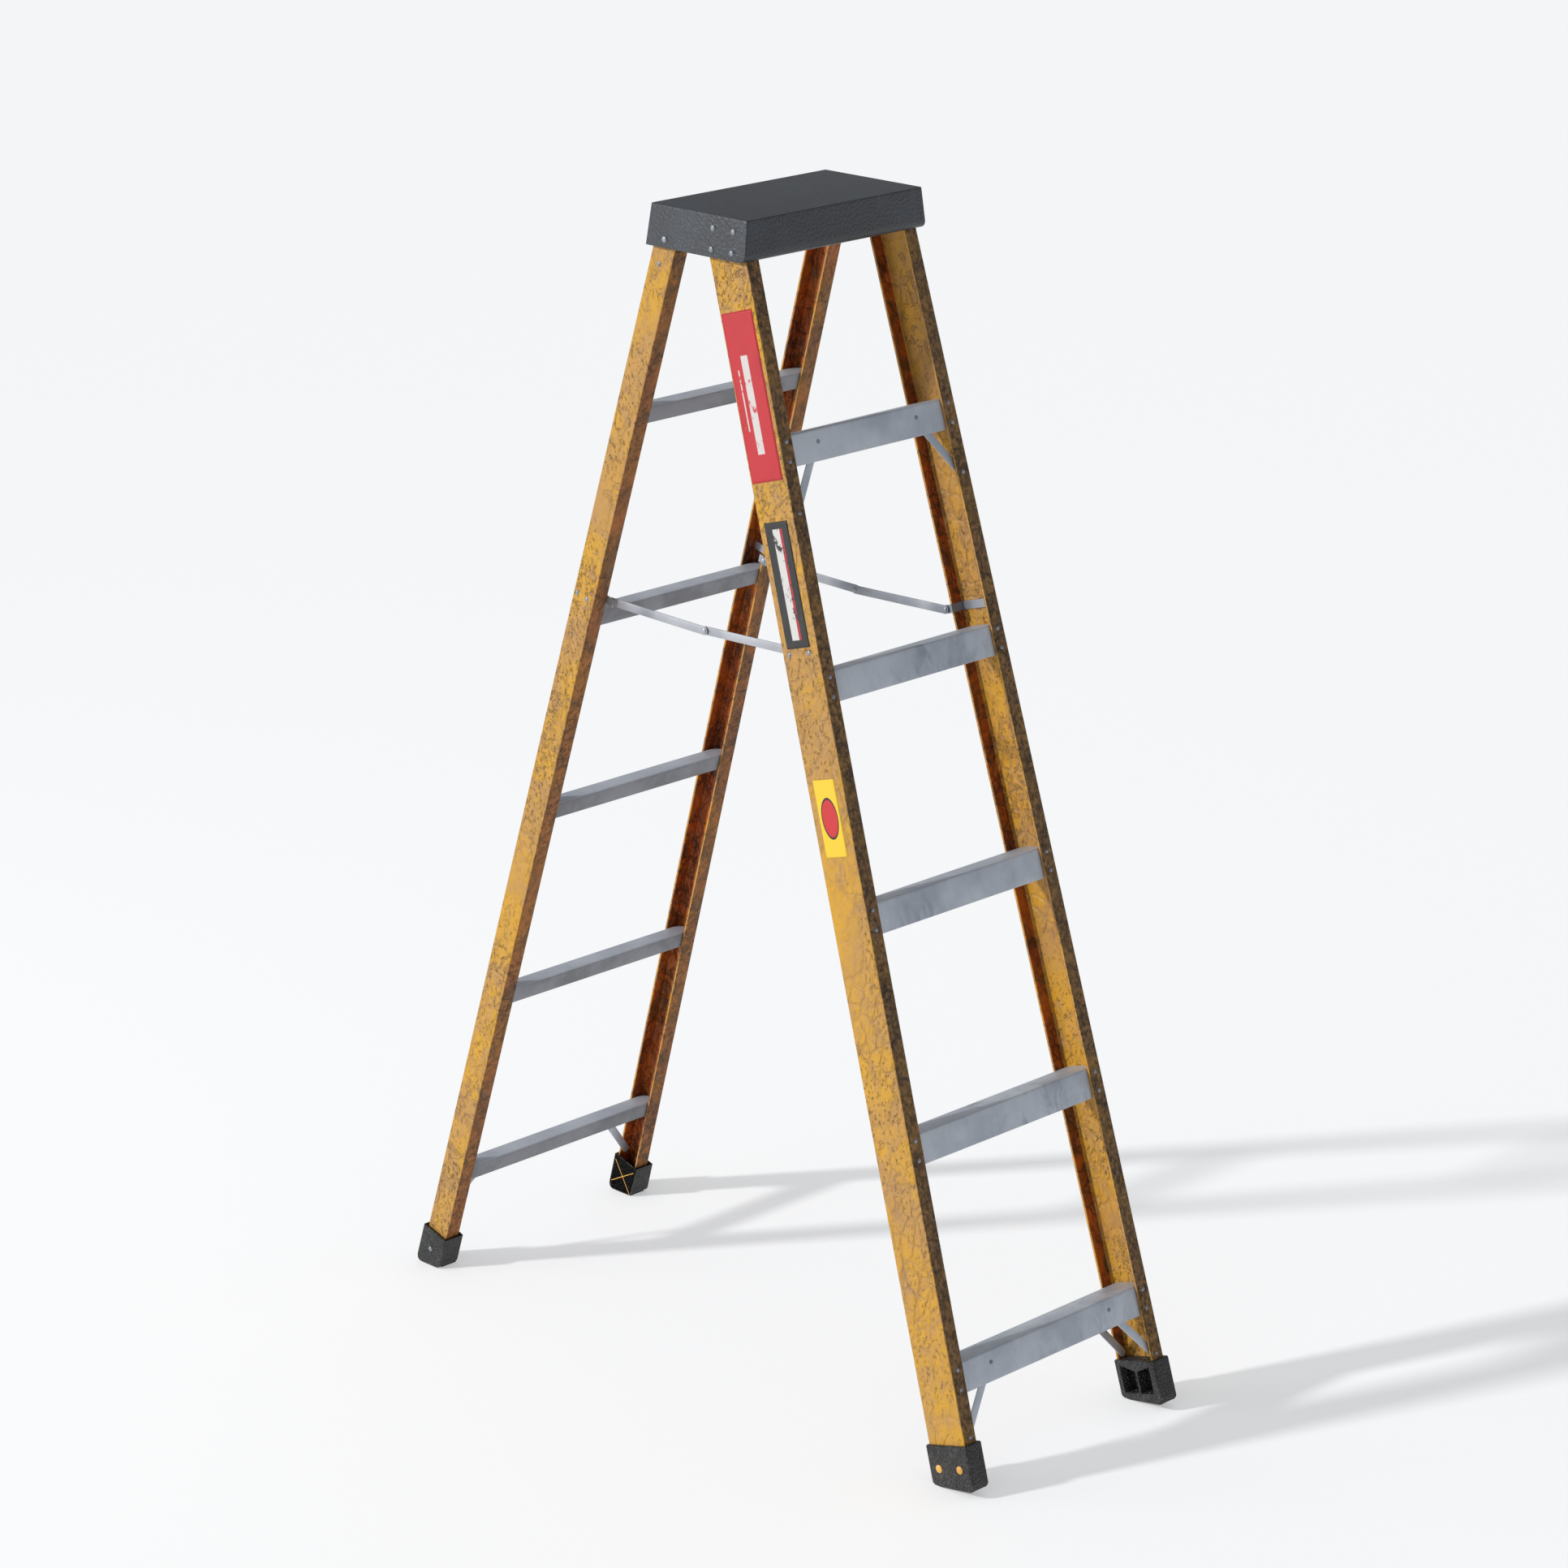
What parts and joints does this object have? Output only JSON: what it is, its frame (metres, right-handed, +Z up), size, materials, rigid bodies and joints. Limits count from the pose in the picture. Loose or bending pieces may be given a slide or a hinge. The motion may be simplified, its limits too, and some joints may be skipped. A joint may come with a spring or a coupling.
{
  "type": "A-frame stepladder",
  "caption": "Folding A-frame stepladder with channel rails, flat steps, rear rungs, moulded top cap, feet and spreader bars.",
  "frame": {"origin": "on the floor, in the middle of the bounding box", "axes": "+Z up, +X across the ladder, the steps face -Y"},
  "size_m": [0.431, 1.15, 1.678],
  "materials": {
    "rail_fibreglass": "weathered yellow glass-fibre channel, slightly glossy, fine crazing",
    "step_aluminium": "mill-finish aluminium with scuffs",
    "cap_plastic": "dark grey moulded plastic with fine orange-peel texture",
    "foot_plastic": "black moulded plastic, wrinkled grain",
    "yellow_plastic": "yellow moulded plastic",
    "spreader_steel": "zinc-plated flat steel bar",
    "fastener_steel": "plated steel rivets"
  },
  "bodies": {
    "front_frame": {"top_cap": "cap_plastic", "step_1": "step_aluminium", "step_2": "step_aluminium", "step_3": "step_aluminium", "step_4": "step_aluminium", "step_5": "step_aluminium", "left_front_rail": "rail_fibreglass", "left_front_foot": "foot_plastic", "left_front_foot_rivet_1": "yellow_plastic", "left_front_foot_rivet_2": "yellow_plastic", "left_step_1_front_brace": "step_aluminium", "left_step_5_front_brace": "step_aluminium", "left_step_1_rear_brace": "step_aluminium", "left_front_bracket": "spreader_steel", "left_front_pivot": "fastener_steel", "left_hinge_pin": "fastener_steel", "left_cap_rivet_1": "fastener_steel", "left_cap_rivet_2": "fastener_steel", "left_cap_rivet_3": "fastener_steel", "left_cap_rivet_4": "fastener_steel", "right_front_rail": "rail_fibreglass", "right_front_foot": "foot_plastic", "right_front_foot_rivet_1": "yellow_plastic", "right_front_foot_rivet_2": "yellow_plastic", "right_step_1_front_brace": "step_aluminium", "right_step_5_front_brace": "step_aluminium", "right_step_1_rear_brace": "step_aluminium", "right_front_bracket": "spreader_steel", "right_front_pivot": "fastener_steel", "right_hinge_pin": "fastener_steel", "right_cap_rivet_1": "fastener_steel", "right_cap_rivet_2": "fastener_steel", "right_cap_rivet_3": "fastener_steel", "right_cap_rivet_4": "fastener_steel"},
    "rear_frame": {"rear_rung_1": "step_aluminium", "rear_rung_2": "step_aluminium", "rear_rung_3": "step_aluminium", "rear_rung_4": "step_aluminium", "rear_rung_5": "step_aluminium", "left_rear_rail": "rail_fibreglass", "left_rear_foot": "foot_plastic", "left_rear_foot_rivet": "fastener_steel", "left_rear_foot_cross": "yellow_plastic", "left_rung_1_brace": "step_aluminium", "left_rear_bracket": "spreader_steel", "left_rear_pivot": "fastener_steel", "right_rear_rail": "rail_fibreglass", "right_rear_foot": "foot_plastic", "right_rear_foot_rivet": "fastener_steel", "right_rear_foot_cross": "yellow_plastic", "right_rung_1_brace": "step_aluminium", "right_rear_bracket": "spreader_steel", "right_rear_pivot": "fastener_steel"},
    "left_front_arm": {"left_front_arm": "spreader_steel"},
    "left_rear_arm": {"left_rear_arm": "spreader_steel", "left_mid_pivot": "fastener_steel"},
    "right_front_arm": {"right_front_arm": "spreader_steel"},
    "right_rear_arm": {"right_rear_arm": "spreader_steel", "right_mid_pivot": "fastener_steel"}
  },
  "joints": [
    {"name": "rear_fold", "type": "hinge", "parent": "front_frame", "child": "rear_frame", "pos_m": [0, 0.04245, 1.6329], "axis": [-1, 0, 0], "range_deg": [0, 33.33]},
    {"name": "left_front_arm_fold", "type": "hinge", "parent": "front_frame", "child": "left_front_arm", "pos_m": [0, -0.17791, 1.09845], "axis": [-1, 0, 0], "range_deg": [0, 85.7]},
    {"name": "left_rear_arm_fold", "type": "hinge", "parent": "rear_frame", "child": "left_rear_arm", "pos_m": [0, 0.1857, 1.09766], "axis": [1, 0, 0], "range_deg": [0, 110.3]},
    {"name": "right_front_arm_fold", "type": "hinge", "parent": "front_frame", "child": "right_front_arm", "pos_m": [0, -0.17791, 1.09845], "axis": [-1, 0, 0], "range_deg": [0, 85.7]},
    {"name": "right_rear_arm_fold", "type": "hinge", "parent": "rear_frame", "child": "right_rear_arm", "pos_m": [0, 0.1857, 1.09766], "axis": [1, 0, 0], "range_deg": [0, 110.3]}
  ],
  "couplings": [
    {"joint": "left_front_arm_fold", "follows": "rear_fold", "ratio": 2.5698},
    {"joint": "left_rear_arm_fold", "follows": "rear_fold", "ratio": 3.3078},
    {"joint": "right_front_arm_fold", "follows": "rear_fold", "ratio": 2.5698},
    {"joint": "right_rear_arm_fold", "follows": "rear_fold", "ratio": 3.3078}
  ]
}
